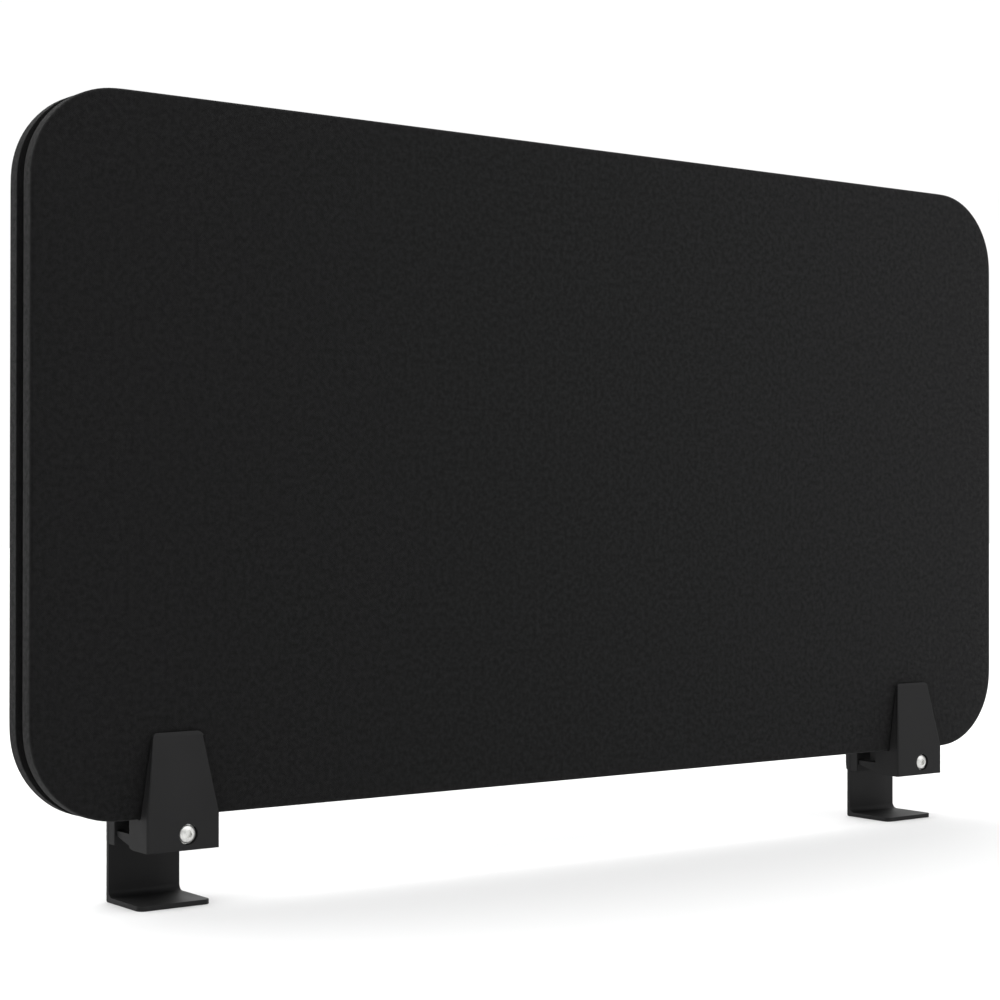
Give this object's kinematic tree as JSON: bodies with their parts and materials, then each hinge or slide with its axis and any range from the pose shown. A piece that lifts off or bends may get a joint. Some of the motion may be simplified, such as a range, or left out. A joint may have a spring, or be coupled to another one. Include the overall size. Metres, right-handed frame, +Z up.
{
  "type": "desk privacy panel",
  "caption": "Clamp-on desk screen with fabric-covered pads on both sides, a groove around its edge, round corners, and screw clamps with steel brackets that hook under a desktop.",
  "frame": {"origin": "bottom centre of the whole object: middle of its width and depth, on the floor under the bracket flanges", "axes": "+X along the panel's width, +Y to the rear (away from the side that the screw heads face), +Z up"},
  "size_m": [0.8, 0.0584, 0.473],
  "materials": {
    "cover_fabric": "matt woven black fabric",
    "foam": "soft grey foam",
    "board_wood": "raw hardboard",
    "core_wood": "raw particle board",
    "band_plastic": "matt black edge band",
    "jaw_plastic": "moulded, finely grained",
    "pad_rubber": "matt",
    "bracket_steel": "black powder coat",
    "zinc_steel": "bright zinc plating"
  },
  "bodies": {
    "panel": {"core_board": "core_wood", "edge_band": "band_plastic", "front_board": "board_wood", "front_foam": "foam", "front_fabric": "cover_fabric", "rear_board": "board_wood", "rear_foam": "foam", "rear_fabric": "cover_fabric"},
    "left_clamp": {"left_rear_jaw": "jaw_plastic", "left_rear_jaw_pad": "pad_rubber", "left_rear_cover": "jaw_plastic", "left_nut": "zinc_steel"},
    "left_jaw": {"left_front_jaw": "jaw_plastic", "left_front_jaw_pad": "pad_rubber", "left_washer": "zinc_steel"},
    "left_screw": {"left_clamp_screw": "zinc_steel"},
    "left_angle": {"left_bracket": "bracket_steel"},
    "right_clamp": {"right_rear_jaw": "jaw_plastic", "right_rear_jaw_pad": "pad_rubber", "right_rear_cover": "jaw_plastic", "right_nut": "zinc_steel"},
    "right_jaw": {"right_front_jaw": "jaw_plastic", "right_front_jaw_pad": "pad_rubber", "right_washer": "zinc_steel"},
    "right_screw": {"right_clamp_screw": "zinc_steel"},
    "right_angle": {"right_bracket": "bracket_steel"}
  },
  "joints": [
    {"name": "left_clamp_slide", "type": "slide", "parent": "panel", "child": "left_clamp", "axis": [1, 0, 0], "range_m": [-0.012, 0.2]},
    {"name": "left_jaw_open", "type": "slide", "parent": "left_clamp", "child": "left_jaw", "axis": [0, -1, 0], "range_m": [0, 0.0035]},
    {"name": "left_screw_turn", "type": "hinge", "parent": "left_jaw", "child": "left_screw", "pos_m": [-0.306, -0.0293, 0.0437], "axis": [0, -1, 0], "range_deg": [0, 1260]},
    {"name": "left_bracket_height", "type": "slide", "parent": "left_clamp", "child": "left_angle", "axis": [0, 0, 1], "range_m": [-0.01, 0.005]},
    {"name": "right_clamp_slide", "type": "slide", "parent": "panel", "child": "right_clamp", "axis": [1, 0, 0], "range_m": [-0.2, 0.012]},
    {"name": "right_jaw_open", "type": "slide", "parent": "right_clamp", "child": "right_jaw", "axis": [0, -1, 0], "range_m": [0, 0.0035]},
    {"name": "right_screw_turn", "type": "hinge", "parent": "right_jaw", "child": "right_screw", "pos_m": [0.312, -0.0293, 0.0437], "axis": [0, -1, 0], "range_deg": [0, 1260]},
    {"name": "right_bracket_height", "type": "slide", "parent": "right_clamp", "child": "right_angle", "axis": [0, 0, 1], "range_m": [-0.01, 0.005]}
  ],
  "couplings": [
    {"joint": "left_screw_turn", "follows": "left_jaw_open", "rad_per_m": 6283.2},
    {"joint": "right_screw_turn", "follows": "right_jaw_open", "rad_per_m": 6283.2}
  ]
}
